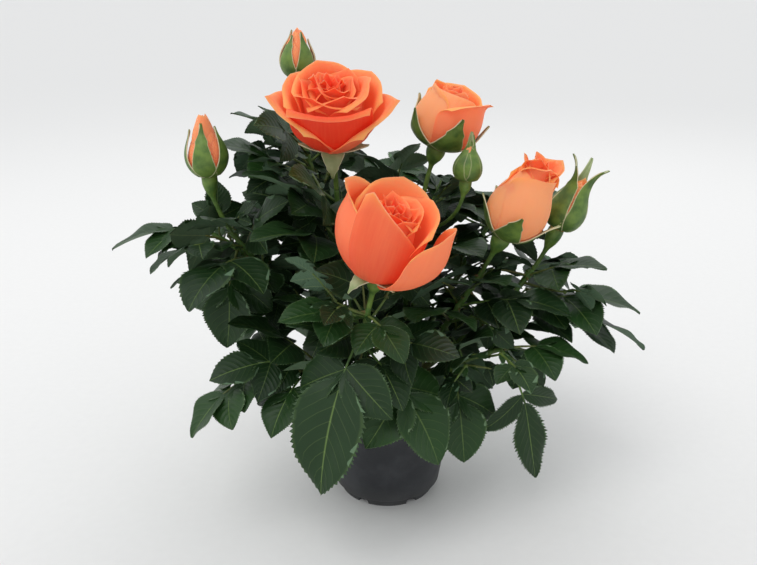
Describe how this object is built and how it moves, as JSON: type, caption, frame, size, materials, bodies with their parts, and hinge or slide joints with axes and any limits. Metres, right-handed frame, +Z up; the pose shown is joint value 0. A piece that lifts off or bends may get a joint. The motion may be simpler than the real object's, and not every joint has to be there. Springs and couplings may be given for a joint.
{
  "type": "potted rose bush",
  "caption": "Small bushy rose with orange blooms and buds on green canes, dense dark compound leaves, growing in a round dark nursery pot of potting mix.",
  "frame": {"origin": "middle of the pot's flat underside, which stands on the ground", "axes": "+Z up; -Y is the front of the bush, where the largest leaf and the front bloom are; +X to the right seen from the front"},
  "size_m": [0.3337, 0.2229, 0.2871],
  "materials": {
    "pot-plastic": "moulded, dull, slightly dusty",
    "potting-mix": "loose, moist, dark",
    "woody-stem": "brown-green bark",
    "green-cane": "smooth green skin",
    "foliage": "dark green, slightly glossy leaves",
    "petals": "orange to coral petals, soft sheen",
    "green-bud": "green sepals"
  },
  "bodies": {
    "root": {"pot": "pot-plastic", "potting-mix": "potting-mix", "front-stem": "woody-stem", "left-stem": "woody-stem", "back-stem": "woody-stem", "right-stem": "woody-stem", "front-cane": "green-cane", "open-cane": "green-cane", "low-left-cane": "green-cane", "top-cane": "green-cane", "left-cane": "green-cane", "far-left-cane": "green-cane", "back-left-cane": "green-cane", "rear-cane": "green-cane", "back-cane": "green-cane", "back-right-cane": "green-cane", "right-cane": "green-cane", "far-right-cane": "green-cane", "low-right-cane": "green-cane", "front-leaves": "foliage", "open-leaves": "foliage", "low-left-leaves": "foliage", "top-leaves": "foliage", "left-leaves": "foliage", "far-left-leaves": "foliage", "back-left-leaves": "foliage", "rear-leaves": "foliage", "back-leaves": "foliage", "back-right-leaves": "foliage", "right-leaves": "foliage", "far-right-leaves": "foliage", "low-right-leaves": "foliage", "front-bloom": "petals", "open-bloom": "petals", "top-bud": "petals", "left-bud": "petals", "rear-bloom": "petals", "small-bud": "green-bud", "right-bloom": "petals", "far-right-bud": "green-bud"}
  },
  "joints": []
}
